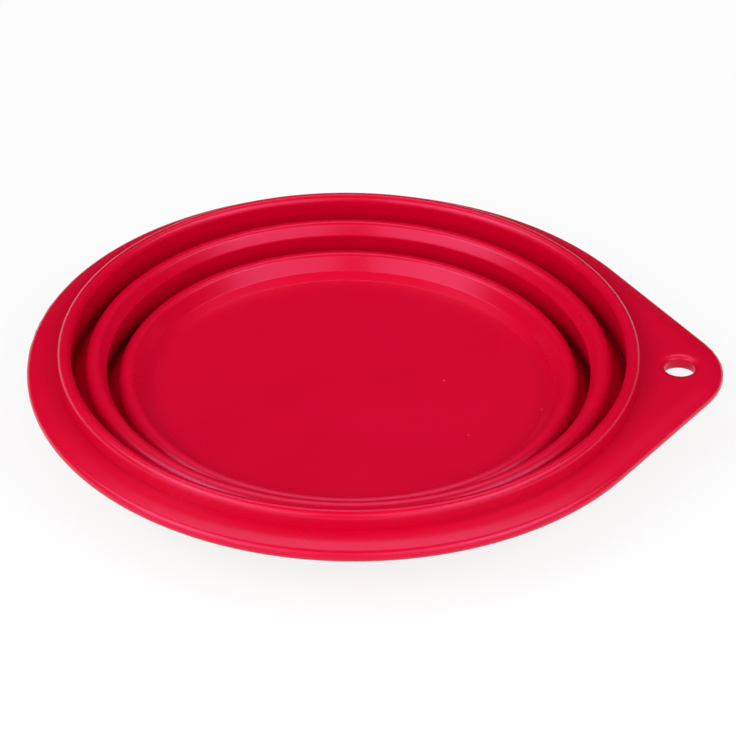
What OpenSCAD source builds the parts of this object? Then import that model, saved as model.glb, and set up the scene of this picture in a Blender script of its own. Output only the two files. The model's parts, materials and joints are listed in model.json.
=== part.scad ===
// Collapsible silicone bowl, folded flat: three nested rings joined by two thin webs
// that turn inside out as the bowl is pulled open, with a rim flange and a hanging tab.
// The origin is the middle of the bowl on the surface it stands on. +Z is up, +X is along the tab.

/* [Rim] */
// Diameter across the flange, without the tab
rim_d = 140.4; // [130:0.2:170]
// Shift of the flange's outline from the bowl's axis towards the tab
flange_shift = 0.4; // [0:0.1:1]
// Mean width of the flange outside the upper ring
flange_w = 7.1; // [5.5:0.1:10]
// Thickness of the flange and the tab
flange_t = 3.4; // [2.4:0.1:4.4]
// How much thinner the flange is at its rounded edge
edge_drop = 0.5; // [0.2:0.1:0.8]
// Slope of the flange's top towards its edge, in degrees
edge_slope = 12; // [10:1:20]
// Depth of the flange's middle plane below the upper lip
flange_drop = 5.75; // [4.5:0.05:7]
// Radius of the fillets between the flange and the upper ring
crease_r = 1.1; // [0.4:0.1:1.4]

/* [Hanging tab] */
// Reach of the tab's tip past the flange
tab_l = 10.7; // [8:0.1:16]
// Radius of the tab's round tip
tab_tip_r = 18.6; // [16:0.1:26]
// Diameter of the hanging hole at its narrowest
hole_d = 6.8; // [5:0.2:8]
// Radius that rounds the hole's edges, less than half the flange's thickness
hole_round = 1.1; // [0.4:0.1:1.1]
// Distance from the hole's middle to the tab's tip
hole_inset = 9.5; // [8.5:0.1:11]

/* [Rings] */
// Radial distance from one ring's crest to the next
ring_pitch = 7.1; // [6.5:0.1:8.5]
// Thickness of a ring at its fold
wall_t = 1.75; // [1.4:0.05:2.2]
// Thickness of the upper ring's round lip
lip_t = 2.6; // [2.2:0.1:3.2]
// Height of the upper ring, from its lip to the upper fold
upper_h = 11.35; // [10:0.05:13]
// Height of the middle ring, from its crest to the lower fold
middle_h = 12.85; // [12:0.05:15]
// Height of the lower ring's crest above the floor
lower_h = 4.6; // [4:0.1:5.5]
// Rise from the middle ring's crest to the upper lip, when folded
upper_step = 3.1; // [2:0.1:4]
// Rise from the lower ring's crest to the middle ring's crest, when folded
lower_step = 4; // [3:0.1:5]
// Radius of the middle and lower rings' round crests
crest_r = 1.25; // [1:0.05:1.5]
// Lean of the bevel inside a crest, in degrees from upright
bevel_lean = 30; // [20:1:38]
// Depth of the middle ring's bevel below its crest
bevel_h = 2.65; // [2.2:0.05:4]
// How far the middle ring flares from its bevel to the lower fold
middle_flare = 2; // [0:0.1:2.5]

/* [Folds] */
// Thickness of the webs that turn inside out
web_t = 1.3; // [1:0.05:1.6]
// Height of the lower fold above the surface that the bowl stands on
fold_clear = 0.5; // [0.3:0.1:1.5]

/* [Base] */
// Thickness of the floor
floor_t = 2.2; // [1.6:0.1:3]
// Radius of the fillet where the lower ring meets the floor
floor_fillet = 1.8; // [1:0.1:2.4]
// Thickness of the lower ring where it meets the floor
base_wall_t = 2; // [1.6:0.1:2.6]
// Width of the foot ring's underside
foot_w = 2.4; // [1.8:0.1:4]
// How much wider the foot ring is where it meets the floor, on each side
foot_draft = 0.3; // [0:0.1:0.6]

/* [Hidden] */
$fn = 96;
edge_facets = 24;
flange_red = [0.84, 0.01, 0.17];
ring_red = [0.80, 0.00, 0.15];
web_red = [0.62, 0.00, 0.11];

// Direction that a bevel faces: inwards and up
bevel_normal = [-cos(bevel_lean), sin(bevel_lean)];

// Heights, from the standing surface up
bend_r = wall_t / 2;
middle_fold_z = fold_clear + bend_r;
middle_top = middle_fold_z + middle_h;
lower_top = middle_top - lower_step;
floor_top = lower_top - lower_h;
foot_h = floor_top - floor_t;
upper_top = middle_top + upper_step;
upper_fold_z = upper_top - upper_h;
flange_z = upper_top - flange_drop;

// Radii, from the flange in
rim_r = rim_d / 2;
edge_r = flange_t / 2;
bead_r = (flange_t - edge_drop) / 2;
upper_out_r = rim_r - flange_w;
upper_lip = [upper_out_r - lip_t / 2, upper_top - lip_t / 2];
upper_foot = [upper_out_r - wall_t, upper_fold_z];
middle_crest = [upper_lip.x - ring_pitch, middle_top - crest_r];
lower_crest = [middle_crest.x - ring_pitch, lower_top - crest_r];

// Where each bevel leaves its crest, and the point on it at a given height
middle_bevel_top = middle_crest + crest_r * bevel_normal;
lower_bevel_top = lower_crest + crest_r * bevel_normal;
function on_bevel(top, z) = [top.x - (top.y - z) * tan(bevel_lean), z];

// Middle ring: narrowest at the foot of its bevel, then flaring down to the lower fold
middle_ridge = on_bevel(middle_bevel_top, middle_top - bevel_h);
middle_foot = [middle_ridge.x + middle_flare, middle_fold_z];

// Lower ring: its bevel runs down into the floor's fillet
bevel_foot = on_bevel(lower_bevel_top, floor_top + floor_fillet * (1 - sin(bevel_lean)));
fillet_centre = [bevel_foot.x - floor_fillet * cos(bevel_lean), floor_top + floor_fillet];
base_r = bevel_foot.x + base_wall_t;

// Tab: the middle of its round tip, from the flange's own middle, and the angle on either side of +X
// at which its straight sides touch the flange's edge
tab_round_x = rim_r + tab_l - tab_tip_r;
tab_angle = acos((rim_r - tab_tip_r) / tab_round_x);
hole_x = flange_shift + rim_r + tab_l - hole_inset;

// Point where the line from p touches the outer side of the circle at c with radius r
function touch_point(p, c, r) =
    let (turn = acos(r / norm(p - c)), way = atan2(p.y - c.y, p.x - c.x))
    c + r * [cos(way + turn), sin(way + turn)];

// Section of the flange about its middle plane: level, then sloping down to a rounded edge
module flange_section(inner, outer) {
    bead = [outer - bead_r, bead_r - edge_r];
    touch = bead + bead_r * [sin(edge_slope), cos(edge_slope)];
    shoulder = [touch.x - (edge_r - touch.y) / tan(edge_slope), edge_r];
    translate(bead) circle(bead_r);
    polygon([[inner, -edge_r], [bead.x, -edge_r], bead, touch, shoulder, [inner, edge_r]]);
}

// Straight part of a web: from the foot of one ring up to the crest of the next
module web_strip(foot, crest) {
    top = touch_point(foot, crest, crest_r);
    inward = web_t * (crest - top) / crest_r;
    polygon([foot, top, top + inward, foot + inward]);
}

// Section of a web with the bend that closes the ring above it
module web_section(foot, crest) {
    bend = foot + [bend_r, 0];
    inward = web_t * (crest - touch_point(foot, crest, crest_r)) / crest_r;
    web_strip(foot, crest);
    polygon([foot, foot + inward, bend - [0, bend_r], bend]);
    difference() {
        translate(bend) circle(bend_r);
        translate(bend - [wall_t, 0]) square([2 * wall_t, wall_t]);
    }
}

// Cut for the hanging hole, on its own axis: a short bore that flares into both faces of the tab
module hole_cut() {
    flare_r = hole_d / 2 + hole_round;
    cylinder(d = hole_d, h = 2 * flange_t, center = true);
    for (face = [0, 1])
        mirror([0, 0, face])
        rotate_extrude() difference() {
            translate([0, edge_r - hole_round]) square([flare_r, flange_t]);
            translate([flare_r, edge_r - hole_round]) circle(hole_round);
        }
}

// Section of the fillet above or below the flange, from the corner that it fills
module crease_section() {
    difference() {
        square(crease_r);
        translate([crease_r, crease_r]) circle(crease_r);
    }
}

// Room for the upper ring inside the flange
module ring_cut() {
    translate([0, 0, flange_z]) cylinder(r = upper_out_r, h = 2 * flange_t, center = true);
}

module rim_flange() {
    color(flange_red)
    difference() {
        translate([flange_shift, 0, flange_z])
        rotate_extrude(start = tab_angle, angle = 360 - 2 * tab_angle)
            flange_section(upper_foot.x - flange_shift, rim_r);
        ring_cut();
    }
}

module hang_tab() {
    color(flange_red)
    difference() {
        translate([flange_shift, 0, flange_z]) difference() {
            hull() {
                rotate_extrude() flange_section(0, rim_r, $fn = edge_facets);
                translate([tab_round_x, 0, 0])
                rotate_extrude() flange_section(0, tab_tip_r, $fn = edge_facets);
            }
            for (side = [-1, 1])
                rotate([0, 0, side * (tab_angle + 90)])
                translate([0, -rim_d, -flange_t])
                    cube([rim_d, 2 * rim_d, 2 * flange_t]);
        }
        ring_cut();
        translate([hole_x, 0, flange_z]) hole_cut();
    }
}

module upper_wall_ring() {
    color(ring_red)
    rotate_extrude() {
        translate(upper_lip) circle(lip_t / 2);
        polygon([upper_foot, [upper_out_r, upper_fold_z], upper_lip + [lip_t / 2, 0],
                 upper_lip - [lip_t / 2, 0]]);
        translate([upper_out_r, flange_z + edge_r]) crease_section();
        translate([upper_out_r, flange_z - edge_r]) mirror([0, 1]) crease_section();
    }
}

module upper_fold_web() {
    color(web_red)
    rotate_extrude() web_section(upper_foot, middle_crest);
}

module middle_wall_ring() {
    color(ring_red)
    rotate_extrude() difference() {
        union() {
            translate(middle_crest) circle(crest_r);
            polygon([middle_foot, middle_foot + [wall_t, 0], middle_ridge + [wall_t, 0],
                     middle_crest, middle_bevel_top, middle_ridge]);
        }
        web_strip(upper_foot, middle_crest);
    }
}

module lower_fold_web() {
    color(web_red)
    rotate_extrude() web_section(middle_foot, lower_crest);
}

module lower_wall_ring() {
    color(ring_red)
    rotate_extrude() difference() {
        union() {
            translate(lower_crest) circle(crest_r);
            polygon([bevel_foot, [base_r, bevel_foot.y], lower_crest, lower_bevel_top]);
        }
        web_strip(middle_foot, lower_crest);
    }
}

module floor_disc() {
    foot_r = base_r - foot_draft;
    color(flange_red)
    rotate_extrude() {
        translate([0, foot_h]) square([base_r, floor_t]);
        difference() {
            translate([fillet_centre.x, floor_top])
                square([base_r - fillet_centre.x, bevel_foot.y - floor_top]);
            translate(fillet_centre) circle(floor_fillet);
        }
        polygon([[foot_r - foot_w, 0], [foot_r, 0], [base_r, foot_h],
                 [foot_r - foot_w - foot_draft, foot_h]]);
    }
}

rim_flange();
hang_tab();
upper_wall_ring();
upper_fold_web();
middle_wall_ring();
lower_fold_web();
lower_wall_ring();
floor_disc();
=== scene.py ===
# %% [markdown]
# # A collapsible silicone bowl, folded flat
#
# The bowl is one moulding of soft red silicone. Three upright rings nest inside each other, two thin webs
# join them, and a flange with a hanging tab runs round the outside. Pulled open, the webs turn inside out
# and the rings stand on top of each other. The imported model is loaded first, as the fixed frame that every
# piece here is built on.

# %% The fixed frame
import bmesh
import bpy
import json
import math
from mathutils import Matrix, Vector, noise

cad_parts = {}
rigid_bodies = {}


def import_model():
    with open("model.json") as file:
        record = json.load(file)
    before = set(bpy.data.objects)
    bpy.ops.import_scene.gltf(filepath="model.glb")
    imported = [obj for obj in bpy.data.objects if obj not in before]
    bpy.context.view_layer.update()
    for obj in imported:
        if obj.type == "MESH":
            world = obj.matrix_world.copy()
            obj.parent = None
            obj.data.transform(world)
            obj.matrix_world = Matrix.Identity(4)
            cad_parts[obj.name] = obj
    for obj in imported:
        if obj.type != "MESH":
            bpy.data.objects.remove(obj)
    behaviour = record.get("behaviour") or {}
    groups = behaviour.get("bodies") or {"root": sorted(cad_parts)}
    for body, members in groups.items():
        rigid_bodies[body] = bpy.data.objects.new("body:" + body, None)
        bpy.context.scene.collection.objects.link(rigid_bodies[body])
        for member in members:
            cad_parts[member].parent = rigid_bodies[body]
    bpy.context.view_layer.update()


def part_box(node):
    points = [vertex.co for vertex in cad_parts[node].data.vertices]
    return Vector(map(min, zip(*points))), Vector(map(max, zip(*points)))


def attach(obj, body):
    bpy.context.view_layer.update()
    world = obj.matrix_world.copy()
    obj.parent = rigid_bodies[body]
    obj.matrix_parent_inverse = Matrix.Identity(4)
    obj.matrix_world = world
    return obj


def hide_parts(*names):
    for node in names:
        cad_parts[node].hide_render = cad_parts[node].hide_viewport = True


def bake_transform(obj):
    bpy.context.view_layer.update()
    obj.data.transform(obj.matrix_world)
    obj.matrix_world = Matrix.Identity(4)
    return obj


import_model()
mm = 0.001


# %% [markdown]
# ## Sizes
#
# The outer sizes are read off the frame, so the dressed bowl fits the solids by itself. What a box can't
# tell, such as the radius of a crest or the lean of a bevel, is written here once, as it is on the real bowl.

# %% Sizes read off the frame
flange_low, flange_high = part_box("rim_flange")
upper_low, upper_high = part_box("upper_wall_ring")
middle_low, middle_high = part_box("middle_wall_ring")
_, lower_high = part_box("lower_wall_ring")
_, floor_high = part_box("floor_disc")

rim_r = flange_high.y
rim_middle_x = flange_low.x + rim_r
edge_r = (flange_high.z - flange_low.z) / 2
flange_z = (flange_high.z + flange_low.z) / 2
tab_tip_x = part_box("hang_tab")[1].x
cad_crease_r = 1.1 * mm
upper_out_r = upper_high.x - cad_crease_r
base_r = floor_high.x
print("rim radius, mm:", round(rim_r / mm, 2), "flange plane, mm:", round(flange_z / mm, 2))

# %% Sizes of the moulding
wall_t = 1.75 * mm
cad_lip_t = 2.6 * mm
lip_t = 3.2 * mm
web_t = 1.3 * mm
crest_r = 1.25 * mm
crest_out_r = 2.6 * mm
crest_depth = 4.2 * mm
ring_pitch = 7.1 * mm
bevel_lean = math.radians(30)
bevel_h = 2.65 * mm
middle_flare = 2 * mm
lower_h = 4.6 * mm
floor_t = 2.2 * mm
foot_w = 2.4 * mm
foot_draft = 0.3 * mm

upper_foot = Vector((upper_out_r - wall_t, upper_low.z))
middle_crest = Vector((upper_out_r - cad_lip_t / 2 - ring_pitch, middle_high.z - crest_r))
lower_crest = Vector((middle_crest.x - ring_pitch, lower_high.z - crest_r))


def on_bevel(crest, height):
    """The point at that height on the bevel that touches a crest's inner side."""
    top = crest + crest_r * Vector((-math.cos(bevel_lean), math.sin(bevel_lean)))
    return Vector((top.x - (top.y - height) * math.tan(bevel_lean), height))


middle_ridge = on_bevel(middle_crest, middle_high.z - bevel_h)
middle_foot = Vector((middle_ridge.x + middle_flare, middle_low.z))
floor_top = lower_high.z - lower_h
print("crest radii, mm:", round(middle_crest.x / mm, 2), round(lower_crest.x / mm, 2))

# %% [markdown]
# ## Camera
#
# The photograph looks down on the bowl at about 34 degrees through a long lens. The camera stands where the
# fitted ring edges put it, aims a little beside the bowl's middle, and is turned by under a degree about its
# own axis.

# %% Camera
image_px = 736
focal_px = 3952
sensor_mm = 36
clip_near = 0.01
clip_far = 20
view_azimuth = math.radians(1.5)
view_elevation = math.radians(33.96)
view_roll = math.radians(0.72)
view_distance = 0.859
middle_px = Vector((348.8, 364.15))

to_camera = Vector((
    math.sin(view_azimuth) * math.cos(view_elevation),
    -math.cos(view_azimuth) * math.cos(view_elevation),
    math.sin(view_elevation),
))
bowl_middle = Vector((0, 0, flange_z))
level = to_camera.to_track_quat("Z", "Y").to_matrix() @ Matrix.Rotation(view_roll, 3, "Z")
aside_px = Vector((image_px / 2, image_px / 2)) - middle_px
aim = bowl_middle + level @ Vector((aside_px.x, -aside_px.y, 0)) * view_distance / focal_px

camera = bpy.data.objects.new("camera", bpy.data.cameras.new("camera"))
bpy.context.scene.collection.objects.link(camera)
camera.data.sensor_width = sensor_mm
camera.data.lens = focal_px / image_px * sensor_mm
camera.data.clip_start = clip_near
camera.data.clip_end = clip_far
camera.location = bowl_middle + to_camera * view_distance
turn = (camera.location - aim).to_track_quat("Z", "Y").to_matrix() @ Matrix.Rotation(view_roll, 3, "Z")
camera.rotation_euler = turn.to_euler()
bpy.context.scene.camera = camera
print("lens, mm:", round(camera.data.lens, 1))

# %% [markdown]
# ## Drawing a section
#
# Every ring is round, so each one is a section turned about the bowl's axis. A section is a list of corners,
# each with the radius that rounds it. It is drawn as by hand: one vertex is extruded along each straight
# stretch and spun about the middle of each rounding, which gives true arcs from very few numbers.

# %% Drawing with one vertex
merge_distance = 0.5e-6


def pull_to_vertex(place):
    """In edit mode, merge what is selected into one vertex at that radius and height."""
    bpy.ops.mesh.merge(type="CENTER")
    bpy.ops.transform.translate(value=(place.x, 0, place.y))


def new_vertex(name, place):
    """A new piece of one vertex, in edit mode."""
    bpy.ops.object.select_all(action="DESELECT")
    bpy.ops.mesh.primitive_plane_add(size=mm)
    piece = bpy.context.active_object
    piece.name = name
    bpy.ops.object.mode_set(mode="EDIT")
    bpy.ops.mesh.select_mode(type="VERT")
    pull_to_vertex(place)
    return piece


def extrude_by(step):
    """In edit mode, extrude what is selected by a step in radius and height."""
    bpy.ops.mesh.extrude_region_move(TRANSFORM_OT_translate={"value": (step.x, 0, step.y)})


def spin_about(middle, sweep, steps):
    """In edit mode, spin what is selected in the section's plane, about a point at that radius and height."""
    bpy.ops.mesh.spin(steps=steps, angle=sweep, center=(middle.x, 0, middle.y), axis=(0, 1, 0))


# %% Sections of rounded corners
arc_step = math.radians(9)
# Share of the largest round that fits, so that a short straight stretch stays beside it
near_full = 0.99


def rounding(before, corner, after, radius):
    """Where a rounded corner starts, the middle of its arc, and the signed angle that it sweeps."""
    back = (before - corner).normalized()
    ahead = (after - corner).normalized()
    half = back.angle(ahead) / 2
    start = corner + back * radius / math.tan(half)
    middle = corner + (back + ahead).normalized() * radius / math.sin(half)
    way = 1 if back.cross(ahead) < 0 else -1
    return start, middle, way * (math.pi - 2 * half)


def draw_section(name, corners, closed=True):
    """A new piece in edit mode whose edges are the section through corners of (radius, height, rounding)."""
    points = [Vector((r, z)) for r, z, _ in corners]
    first = points[0] if not closed else (points[-1] + points[0]) / 2
    piece = new_vertex(name, first)
    pen = first
    for i, (_, _, radius) in enumerate(corners):
        start = points[i]
        if radius:
            start, middle, sweep = rounding(points[i - 1], points[i], points[(i + 1) % len(points)], radius)
        if (start - pen).length > merge_distance:
            extrude_by(start - pen)
            pen = start
        if radius:
            spin_about(middle, sweep, max(2, math.ceil(abs(sweep) / arc_step)))
            pen = middle + Matrix.Rotation(sweep, 2) @ (start - middle)
    if closed:
        extrude_by(first - pen)
    bpy.ops.mesh.select_all(action="SELECT")
    bpy.ops.mesh.remove_doubles(threshold=merge_distance)
    return piece


# %% Turning, selecting and finishing
turn_steps = 240
crisp_angle = math.radians(40)
# How near a vertex has to be to count as lying on a line or plane
slack = 0.01 * mm


def turn_section():
    """Turn the section in edit mode about the bowl's axis, closed and facing outwards."""
    bpy.ops.mesh.select_all(action="SELECT")
    bpy.ops.mesh.spin(steps=turn_steps, angle=2 * math.pi, center=(0, 0, 0), axis=(0, 0, 1))
    bpy.ops.mesh.select_all(action="SELECT")
    bpy.ops.mesh.remove_doubles(threshold=merge_distance)
    bpy.ops.mesh.normals_make_consistent(inside=False)


def pick(piece, test, kind="VERT", open_only=False):
    """In edit mode, select the vertices, edges or faces whose every vertex passes the test."""
    bpy.ops.mesh.select_mode(type=kind)
    bpy.ops.mesh.select_all(action="DESELECT")
    mesh = bmesh.from_edit_mesh(piece.data)
    items = {"VERT": mesh.verts, "EDGE": mesh.edges, "FACE": mesh.faces}[kind]
    chosen = [item for item in items if all(test(v.co) for v in getattr(item, "verts", [item]))]
    if open_only:
        chosen = [edge for edge in chosen if edge.is_boundary]
    for item in chosen:
        item.select_set(True)
    bmesh.update_edit_mesh(piece.data)
    return len(chosen)


def finish_piece(piece, even_flats=False):
    """Back to object mode, with rounds smooth, true edges crisp and, if asked, flat stretches evenly lit."""
    bpy.ops.object.mode_set(mode="OBJECT")
    bpy.ops.object.shade_smooth_by_angle(angle=crisp_angle)
    if even_flats:
        flats = piece.modifiers.new("even_flats", "WEIGHTED_NORMAL")
        flats.keep_sharp = True
        bpy.ops.object.modifier_apply(modifier=flats.name)
    print(piece.name, "faces:", len(piece.data.polygons))


# %% [markdown]
# ## Folds
#
# At each fold the wall of a ring turns back up into a thin web. Seen in section, the web's underside leaves
# the ring's foot level, bends, and runs straight up to the next ring's crest. The same few numbers give the
# ring its toe, the small hollow fillet at the bottom of the groove, so ring and web meet without a seam.

# %% Section of a fold
toe_reach = 0.25 * mm


def fold_of(foot, crest):
    """The web's facing direction, the height of the fold's bottom and the fillet in the groove."""
    away = foot - crest
    turn = math.acos(crest_r / away.length) + math.atan2(away.y, away.x)
    facing = Vector((math.cos(turn), math.sin(turn)))
    bottom = foot.y - wall_t / 2
    fillet = (bottom + web_t - foot.y) * facing.y / (1 + facing.x - facing.y)
    return facing, bottom, fillet


def foot_corners(foot, crest):
    """The corners of a ring's foot, from its outer side round to the groove."""
    _, bottom, fillet = fold_of(foot, crest)
    groove = bottom + web_t
    return [
        (foot.x + wall_t, bottom, wall_t / 2),
        (foot.x + toe_reach, bottom, 0),
        (foot.x - toe_reach, groove - web_t / 2, 0),
        (foot.x - toe_reach, groove, 0),
        (foot.x, groove, fillet),
    ]


# %% [markdown]
# ## Upper ring and flange
#
# The upper ring carries the drinking lip and the flange. They could be two pieces, but the silicone runs from
# one into the other without a joint, and a seam would show in the highlights, so they are drawn as one
# section. Every outer corner is rounded, and the broad shoulder where the flange starts to slope has the
# largest radius.

# %% Upper ring and flange
flange_top = flange_z + edge_r
flange_bottom = flange_z - edge_r
flange_bands = 11
edge_drop = 0.5 * mm
edge_slope = math.radians(12)
shoulder_r = 8 * mm
lip_round = lip_t * 0.49

bead_r = edge_r - edge_drop / 2
bead_z = flange_bottom + bead_r
rim_top = bead_z + bead_r * (1 - math.sin(edge_slope)) / math.cos(edge_slope)
shoulder_x = rim_r - (flange_top - rim_top) / math.tan(edge_slope)
flat_start = upper_out_r
flat_end = shoulder_x - shoulder_r * math.tan(edge_slope / 2)

rim = draw_section("rim_and_upper_ring", [
    (upper_out_r - lip_t, upper_high.z, lip_round),
    (upper_out_r, upper_high.z, lip_round),
    (upper_out_r, flange_top, 0),
    (shoulder_x, flange_top, shoulder_r),
    (rim_r, rim_top, bead_r * near_full),
    (rim_r, flange_bottom, bead_r * near_full),
    (flat_end, flange_bottom, 0),
    (upper_out_r, flange_bottom, cad_crease_r),
    *foot_corners(upper_foot, middle_crest),
])


def on_level(place):
    """True at the height of the flange's level top or underside."""
    return abs(abs(place.z - flange_z) - edge_r) < slack


def on_flat(place):
    """True on the level stretch of the section's top or underside."""
    return on_level(place) and flat_start - slack < place.x < flat_end + slack


print("level edges:", pick(rim, on_flat, "EDGE"))
bpy.ops.mesh.subdivide(number_cuts=flange_bands)
turn_section()
bpy.ops.object.mode_set(mode="OBJECT")
print(rim.name, "section turned, vertices:", len(rim.data.vertices))

# %% [markdown]
# ## Hanging tab
#
# The tab grows out of the flange as a teardrop: two straight sides touch the flange's round edge and end in
# a wide round tip. By hand one would pull the flange's edge out with soft falloff. Here each vertex in the
# tab's sector slides out along its own radius, and the rounded edge turns to face square to the teardrop's
# outline, so that the edge stays as thick and as round all the way.

# %% Outline of the tab
tab_tip_r = 18.6 * mm
rim_middle = Vector((rim_middle_x, 0))
tip_middle = Vector((tab_tip_x - tab_tip_r, 0))
tab_angle = math.acos((rim_r - tab_tip_r) / (tip_middle.x - rim_middle.x))


def ray(angle):
    """The level direction at that angle from the tab's middle."""
    return Vector((math.cos(angle), math.sin(angle)))


def meet_circle(angle, middle, radius):
    """How far out the ray meets a circle about a point on the X axis, and the way the circle faces there."""
    reach = middle.x * math.cos(angle) + math.sqrt(radius ** 2 - (middle.x * math.sin(angle)) ** 2)
    return reach, (reach * ray(angle) - middle) / radius


def teardrop(angle):
    """How far out the flange's sloping edge starts at that angle, and the way that it faces there."""
    tip_r = tab_tip_r - (rim_r - flat_end)
    side_facing = ray(math.copysign(tab_angle, angle))
    side_start = rim_middle + flat_end * side_facing
    side_end = tip_middle + tip_r * side_facing
    if abs(angle) >= abs(math.atan2(side_start.y, side_start.x)):
        return meet_circle(angle, rim_middle, flat_end)
    if abs(angle) > abs(math.atan2(side_end.y, side_end.x)):
        return side_start.dot(side_facing) / ray(angle).dot(side_facing), side_facing
    return meet_circle(angle, tip_middle, tip_r)


# %% Tab drawn out of the flange
for vertex in rim.data.vertices:
    out = vertex.co.xy.length
    if out > flat_start:
        angle = math.atan2(vertex.co.y, vertex.co.x)
        reach, facing = teardrop(angle)
        share = min(1, (out - flat_start) / (flat_end - flat_start))
        over = max(0, out - flat_end)
        vertex.co.xy = ray(angle) * (flat_start + share * (reach - flat_start)) + facing * over
print("tab reaches, mm:", round(max(vertex.co.x for vertex in rim.data.vertices) / mm, 2))

# %% [markdown]
# ## Parting line
#
# The two halves of the mould met along the flange's edge and left a thin uneven line there. Paint would slide
# off the form in a close view, so the line is real: one ring of vertices on the edge stands out by a few
# hundredths of a millimetre, and further in the places where the flash was trimmed less cleanly.

# %% Parting line
line_lean = math.radians(64)
line_z = bead_z + bead_r * math.cos(line_lean)
line_h = 0.03 * mm
line_slack = 0.08 * mm
fleck_h = 0.06 * mm
fleck_grain = 0.35 / mm
fleck_level = 0.12


def on_parting_line(place):
    """True on the ring of the flange's edge where the mould's halves met."""
    return place.xy.length > flat_end and abs(place.z - line_z) < line_slack


def on_fleck(place):
    """True where the parting line stands out further."""
    return on_parting_line(place) and noise.noise(place * fleck_grain) > fleck_level


bpy.ops.object.mode_set(mode="EDIT")
line_points = pick(rim, on_parting_line)
bpy.ops.transform.shrink_fatten(value=line_h)
flecks = pick(rim, on_fleck)
bpy.ops.transform.shrink_fatten(value=fleck_h)
print("parting line: vertices:", line_points, "of them in flecks:", flecks)

# %% [markdown]
# ## Hanging hole
#
# A shallow dish leads into the hole, and its lower edge is rounded. A Boolean cut would open it too, but it
# leaves slivers that spoil the highlights. So a block of faces is taken out of the tab's top and underside,
# the hole's wall is drawn and spun about the hole's axis, and both open edges are bridged.

# %% Block taken out round the hole
block_columns = 4
# A tenth of a column more, so that the block's own sides count as inside
block_angle = 2 * math.pi / turn_steps * (block_columns + 0.1)


def in_block(place):
    """True on the tab's flat top and underside around the hole."""
    out = place.xy.length
    angle = math.atan2(place.y, place.x)
    in_sector = abs(angle) < block_angle
    return on_level(place) and in_sector and flat_start - slack < out < teardrop(angle)[0] + slack


print("hole: faces taken out:", pick(rim, in_block, "FACE"))
bpy.ops.mesh.delete(type="FACE")

# %% Wall of the hole
hole_inset = 9.5 * mm
hole_r = 3.4 * mm
dish_r = 2.7 * mm
dish_angle = math.radians(30)
hole_round = 0.5 * mm
hole_under_round = 1.1 * mm
hole_arc_steps = 8
# As many columns as the block has open edges on each face
hole_steps = 4 * block_columns + 2 * (flange_bands + 1)

hole_x = tab_tip_x - hole_inset
edge_x = hole_x + hole_r + hole_round
dish_x = edge_x + (dish_r - hole_round) * math.sin(dish_angle)
wall_top = flange_top - dish_r + (dish_r - hole_round) * math.cos(dish_angle)
wall_bottom = flange_bottom + hole_under_round
under_x = hole_x + hole_r + hole_under_round

bpy.ops.mesh.select_mode(type="VERT")
bpy.ops.mesh.select_all(action="DESELECT")
bpy.ops.mesh.primitive_plane_add(size=mm)
pull_to_vertex(Vector((dish_x, flange_top)))
spin_about(Vector((dish_x, flange_top - dish_r)), dish_angle, hole_arc_steps)
spin_about(Vector((edge_x, wall_top)), math.pi / 2 - dish_angle, hole_arc_steps)
extrude_by(Vector((0, wall_bottom - wall_top)))
spin_about(Vector((under_x, wall_bottom)), math.pi / 2, hole_arc_steps)
bpy.ops.mesh.select_linked()
bpy.ops.mesh.spin(steps=hole_steps, angle=2 * math.pi, center=(hole_x, 0, 0), axis=(0, 0, 1))
bpy.ops.mesh.select_all(action="SELECT")
bpy.ops.mesh.remove_doubles(threshold=merge_distance)
print("hole: middle, mm:", round(hole_x / mm, 2), "columns:", hole_steps)

# %% Bridges from the tab to the hole
bridge_cuts = 2
for above in (True, False):
    open_edges = pick(rim, lambda place: (place.z > flange_z) == above, "EDGE", open_only=True)
    bpy.ops.mesh.bridge_edge_loops(number_cuts=bridge_cuts, interpolation="LINEAR")
    print("hole: open edges bridged:", open_edges)
bpy.ops.mesh.select_all(action="SELECT")
bpy.ops.mesh.normals_make_consistent(inside=False)
finish_piece(rim)

# %% [markdown]
# ## Middle ring
#
# The middle ring leans outwards as it goes down, so that the lower ring can rise inside it, and it ends above
# in a round crest, whose outer side runs softly down into the groove. The flat bevel inside the crest is the
# broad bright band that the photograph shows at the far side. A torus on a tube would round it away, so the
# ring is a drawn section whose bevel stays truly flat and only has its corners rounded.

# %% Middle ring
middle_wall = middle_ridge.x + wall_t
crest_bottom = middle_high.z - crest_depth
ridge_r = 1 * mm
crest_under_r = 1.4 * mm
crest_root_r = 0.3 * mm

middle = draw_section("middle_ring", [
    (on_bevel(middle_crest, middle_high.z).x, middle_high.z, crest_r * near_full),
    (middle_crest.x + crest_out_r, middle_high.z, crest_out_r * near_full),
    (middle_crest.x + crest_out_r, crest_bottom, crest_under_r),
    (middle_wall, crest_bottom, crest_root_r),
    *foot_corners(middle_foot, lower_crest),
    (middle_ridge.x, middle_ridge.y, ridge_r),
])
turn_section()
finish_piece(middle)

# %% [markdown]
# ## Base
#
# The lower ring, the floor and the foot ring under it never part, so they are one section from axis to axis.
# A narrow chamfer joins the bevel to the floor. A fillet there would mirror the softboxes somewhere, but the
# chamfer faces too high for that, so it stays plain red, and its foot draws the hair line that the photograph
# shows round the far side of the floor.

# %% Base
foot_h = floor_top - floor_t
foot_edge_r = 0.4 * mm
foot_root_r = 0.8 * mm
foot_in_r = base_r - foot_draft - foot_w
lower_crest_bottom = lower_high.z - crest_depth
chamfer_w = 1.9 * mm
chamfer_inset = 1.2 * mm
chamfer_edge_r = 0.4 * mm
floor_corner_r = on_bevel(lower_crest, floor_top).x
chamfer_foot_r = floor_corner_r - chamfer_inset
chamfer_top_r = chamfer_foot_r + chamfer_w
chamfer_top = floor_top + (chamfer_top_r - floor_corner_r) / math.tan(bevel_lean)

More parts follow.
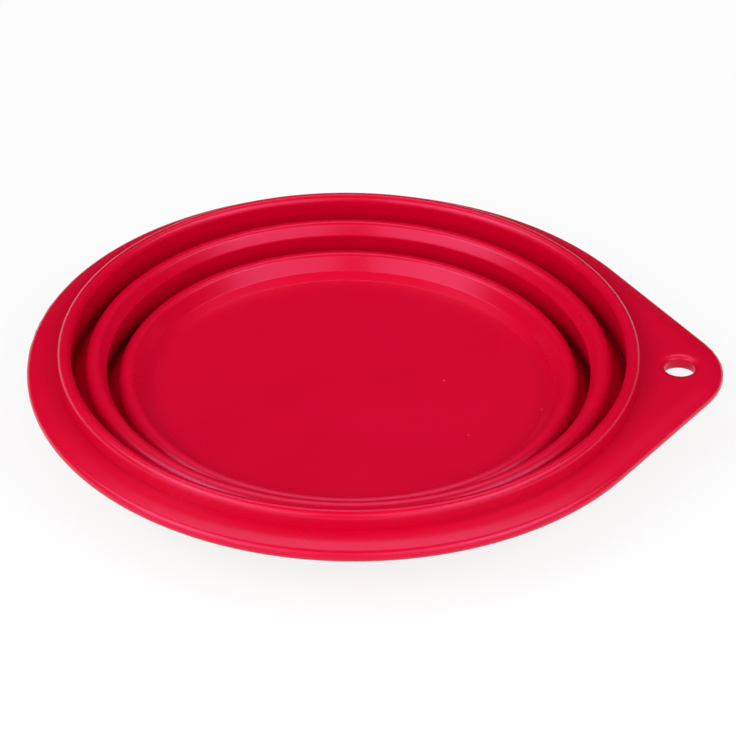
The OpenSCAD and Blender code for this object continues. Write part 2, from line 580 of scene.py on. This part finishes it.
base = draw_section("base_with_floor", [
    (0, floor_top, 0),
    (chamfer_foot_r, floor_top, chamfer_edge_r),
    (chamfer_top_r, chamfer_top, chamfer_edge_r),
    (on_bevel(lower_crest, lower_high.z).x, lower_high.z, crest_r * near_full),
    (lower_crest.x + crest_out_r, lower_high.z, crest_out_r * near_full),
    (lower_crest.x + crest_out_r, lower_crest_bottom, crest_under_r),
    (base_r, lower_crest_bottom, crest_root_r),
    (base_r, foot_h, 0),
    (base_r - foot_draft, 0, foot_edge_r),
    (foot_in_r, 0, foot_edge_r),
    (foot_in_r - foot_draft, foot_h, foot_root_r),
    (0, foot_h, 0),
], closed=False)
turn_section()
finish_piece(base, even_flats=True)

# %% [markdown]
# ## Webs
#
# A web is the thin skin that turns inside out when a fold opens. Drawn as a closed solid like the rings, it
# would change its thickness on the way. So it is a sheet: the sheet is its underside, and a live Solidify
# gives it the silicone's thickness on the groove side, which stays the same in every pose.

# %% Webs
web_bands = 28
web_start = 0.6 * mm
web_lift = 0.02 * mm


def make_web(name, foot, crest, node):
    """The web from a ring's foot up to the next crest, with a rounded bend at the bottom of the fold."""
    facing, bottom, fillet = fold_of(foot, crest)
    along = Vector((-facing.y, facing.x))
    low = bottom + web_lift
    bend_r = web_t + fillet
    top = crest + facing * (crest_r - web_t)
    corner = top - along * (top.y - low) / along.y
    web = draw_section(name, [
        (foot.x + web_start, low, 0),
        (corner.x, low, bend_r),
        (top.x, top.y, 0),
    ], closed=False)
    bend_end = rounding(Vector((foot.x + web_start, low)), corner, top, bend_r)[1] - facing * bend_r
    pick(web, lambda place: place.z > bend_end.y - slack, "EDGE")
    bpy.ops.mesh.subdivide(number_cuts=web_bands)
    turn_section()
    finish_piece(web)
    upright = sum(1 for face in web.data.polygons if face.normal.z > 0) > len(web.data.polygons) / 2
    thick = web.modifiers.new("thickness", "SOLIDIFY")
    thick.thickness = web_t
    thick.offset = 1 if upright else -1
    thick.use_even_offset = True
    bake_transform(web)
    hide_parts(node)
    return web


upper_web = make_web("upper_web", upper_foot, middle_crest, "upper_fold_web")
lower_web = make_web("lower_web", middle_foot, lower_crest, "lower_fold_web")

# %% [markdown]
# ## Silicone
#
# Moulded silicone is a satin material: saturated red right through, with soft reflections that take on a
# little of the red. A flat colour would look like paint, so slow noise drifts the red and the gloss by a few
# percent, fine noise roughens the surface as the mould's blasting did, and sparse dots stand for the dust
# that clings to silicone.

# %% Silicone
silicone_ior = 1.45
highlight_tint = (1.0, 0.45, 0.92, 1)

silicone = bpy.data.materials.new("red_silicone")
silicone.use_nodes = True
nodes = silicone.node_tree.nodes
links = silicone.node_tree.links
shader = nodes["Principled BSDF"]
shader.inputs["IOR"].default_value = silicone_ior
shader.inputs["Specular Tint"].default_value = highlight_tint
place_on_piece = nodes.new("ShaderNodeTexCoord").outputs["Object"]


def noise_texture(scale_per_m, detail):
    """A noise over the piece's own place, with that many features in a metre."""
    texture = nodes.new("ShaderNodeTexNoise")
    texture.inputs["Scale"].default_value = scale_per_m
    texture.inputs["Detail"].default_value = detail
    links.new(place_on_piece, texture.inputs["Vector"])
    return texture.outputs["Fac"]


def remap(value, from_range, to_range):
    """A value carried from one range to another, held at the ends."""
    step = nodes.new("ShaderNodeMapRange")
    for socket, number in zip(step.inputs[1:5], (*from_range, *to_range)):
        socket.default_value = number
    links.new(value, step.inputs["Value"])
    return step.outputs["Result"]


def blend_colour(share, first, second):
    """The colour between two others at that share. Each may be a fixed colour or a node's output."""
    step = nodes.new("ShaderNodeMix")
    step.data_type = "RGBA"
    links.new(share, step.inputs["Factor"])
    for socket, colour in ((step.inputs["A"], first), (step.inputs["B"], second)):
        if isinstance(colour, tuple):
            socket.default_value = colour
        else:
            links.new(colour, socket)
    return step.outputs["Result"]


# %% Red and dust
deep_red = (0.57, 0.0, 0.022, 1)
bright_red = (0.59, 0.0, 0.024, 1)
dust_pink = (0.80, 0.16, 0.22, 1)
drift_per_m = 55
dust_per_m = 190
dust_r = 0.042
dust_edge = 1.6
dust_share = 0.94
dust_strength = 0.4

red = blend_colour(remap(noise_texture(drift_per_m, 3), (0.35, 0.65), (0, 1)), deep_red, bright_red)
cells = nodes.new("ShaderNodeTexVoronoi")
cells.inputs["Scale"].default_value = dust_per_m
links.new(place_on_piece, cells.inputs["Vector"])
near_dot = remap(cells.outputs["Distance"], (dust_r, dust_r * dust_edge), (1, 0))
cell_draw = nodes.new("ShaderNodeSeparateColor")
links.new(cells.outputs["Color"], cell_draw.inputs["Color"])
chosen_cell = remap(cell_draw.outputs["Red"], (dust_share, dust_share + 0.001), (0, dust_strength))
dust = nodes.new("ShaderNodeMath")
dust.operation = "MULTIPLY"
links.new(near_dot, dust.inputs[0])
links.new(chosen_cell, dust.inputs[1])
links.new(blend_colour(dust.outputs["Value"], red, dust_pink), shader.inputs["Base Color"])
print("red and dust: nodes so far:", len(nodes))

# %% Gloss and grain
gloss_per_m = 90
roughness_range = (0.27, 0.30)
grain_per_m = 1400
grain_strength = 0.25
grain_depth = 0.02 * mm

links.new(remap(noise_texture(gloss_per_m, 4), (0.3, 0.7), roughness_range), shader.inputs["Roughness"])
grain = nodes.new("ShaderNodeBump")
grain.inputs["Strength"].default_value = grain_strength
grain.inputs["Distance"].default_value = grain_depth
links.new(noise_texture(grain_per_m, 2), grain.inputs["Height"])
links.new(grain.outputs["Normal"], shader.inputs["Normal"])

for piece in (rim, middle, base, upper_web, lower_web):
    piece.data.materials.clear()
    piece.data.materials.append(silicone)
print("silicone: nodes:", len(nodes))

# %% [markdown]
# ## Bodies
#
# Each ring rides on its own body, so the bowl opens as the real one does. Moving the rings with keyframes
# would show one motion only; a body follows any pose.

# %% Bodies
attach(rim, "upper")
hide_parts("rim_flange", "hang_tab", "upper_wall_ring")
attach(middle, "middle")
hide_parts("middle_wall_ring")
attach(base, "base")
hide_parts("floor_disc", "lower_wall_ring")
print("rigid pieces:", [piece.name for piece in (rim, middle, base)])

# %% [markdown]
# ## Floor and light
#
# The bowl lies on a white sweep in a dim room. A broad softbox stands low at either side of the camera and
# makes the pink bands on the far bevels. One hangs high behind the bowl and draws the light along the near
# lip and flange. Two more at the sides fill the shadows. Nothing bright stands low behind the bowl, which
# keeps the red of its floor deep.

# %% Floor
floor_size = 6
floor_gap = 0.05 * mm

bpy.ops.object.select_all(action="DESELECT")
bpy.ops.mesh.primitive_plane_add(size=floor_size, location=(0, 0, -floor_gap))
floor = bpy.context.active_object
floor.name = "floor"
print("floor, m:", floor_size)

# %% White sweep
floor_white = (0.82, 0.82, 0.82, 1)
shadow_share = 0.16

sweep = bpy.data.materials.new("white_sweep")
sweep.use_nodes = True
sweep_nodes = sweep.node_tree.nodes
sweep_links = sweep.node_tree.links
matt = sweep_nodes["Principled BSDF"]
matt.inputs["Base Color"].default_value = floor_white
matt.inputs["Roughness"].default_value = 1
matt.inputs["Specular IOR Level"].default_value = 0
white = sweep_nodes.new("ShaderNodeEmission")
rays = sweep_nodes.new("ShaderNodeLightPath")
seen = rays.outputs["Is Camera Ray"]
for other in ("Is Glossy Ray", "Is Transmission Ray"):
    either = sweep_nodes.new("ShaderNodeMath")
    either.operation = "MAXIMUM"
    sweep_links.new(seen, either.inputs[0])
    sweep_links.new(rays.outputs[other], either.inputs[1])
    seen = either.outputs["Value"]
lift = sweep_nodes.new("ShaderNodeMath")
lift.operation = "MULTIPLY"
lift.inputs[1].default_value = 1 - shadow_share
sweep_links.new(seen, lift.inputs[0])
mix = sweep_nodes.new("ShaderNodeMixShader")
sweep_links.new(lift.outputs["Value"], mix.inputs["Fac"])
sweep_links.new(matt.outputs["BSDF"], mix.inputs[1])
sweep_links.new(white.outputs["Emission"], mix.inputs[2])

# %% Floor seen through from below
from_below = sweep_nodes.new("ShaderNodeMixShader")
sweep_links.new(sweep_nodes.new("ShaderNodeNewGeometry").outputs["Backfacing"], from_below.inputs["Fac"])
sweep_links.new(mix.outputs["Shader"], from_below.inputs[1])
sweep_links.new(sweep_nodes.new("ShaderNodeBsdfTransparent").outputs["BSDF"], from_below.inputs[2])
sweep_links.new(from_below.outputs["Shader"], sweep_nodes["Material Output"].inputs["Surface"])
floor.data.materials.append(sweep)
print("white sweep: nodes:", len(sweep_nodes))

# %% Softboxes
lamp_distance = 1.2
# Azimuth, elevation, width and height, in degrees as the bowl sees them, and brightness
softboxes = {
    "left_softbox": (228, 29, 54, 46, 2.6),
    "left_fill": (196, 44, 40, 24, 3.8),
    "right_softbox": (308, 29, 52, 46, 2.2),
    "right_fill": (344, 44, 40, 24, 3.3),
    "back_softbox": (96, 68, 44, 22, 2.5),
}


def hang_softbox(name, azimuth, elevation, wide, high, brightness):
    """A rectangular lamp that faces the bowl. Angles are in degrees as the bowl sees it."""
    towards = Vector((
        math.cos(math.radians(azimuth)) * math.cos(math.radians(elevation)),
        math.sin(math.radians(azimuth)) * math.cos(math.radians(elevation)),
        math.sin(math.radians(elevation)),
    ))
    data = bpy.data.lights.new(name, "AREA")
    data.shape = "RECTANGLE"
    data.size = 2 * lamp_distance * math.tan(math.radians(wide / 2))
    data.size_y = 2 * lamp_distance * math.tan(math.radians(high / 2))
    data.energy = brightness * data.size * data.size_y * math.pi
    lamp = bpy.data.objects.new(name, data)
    lamp.location = bowl_middle + towards * lamp_distance
    lamp.rotation_euler = towards.to_track_quat("Z", "Y").to_euler()
    bpy.context.scene.collection.objects.link(lamp)
    print(name, "energy, W:", round(data.energy, 2))


for name, settings in softboxes.items():
    hang_softbox(name, *settings)

# %% Dim room
room_glow = 0.03

world = bpy.data.worlds.new("dim_room")
world.use_nodes = True
bpy.context.scene.world = world
world.node_tree.nodes["Background"].inputs["Color"].default_value = (1, 1, 1, 1)
world.node_tree.nodes["Background"].inputs["Strength"].default_value = room_glow
bpy.context.scene.view_settings.view_transform = "Standard"
print("room glow:", room_glow)
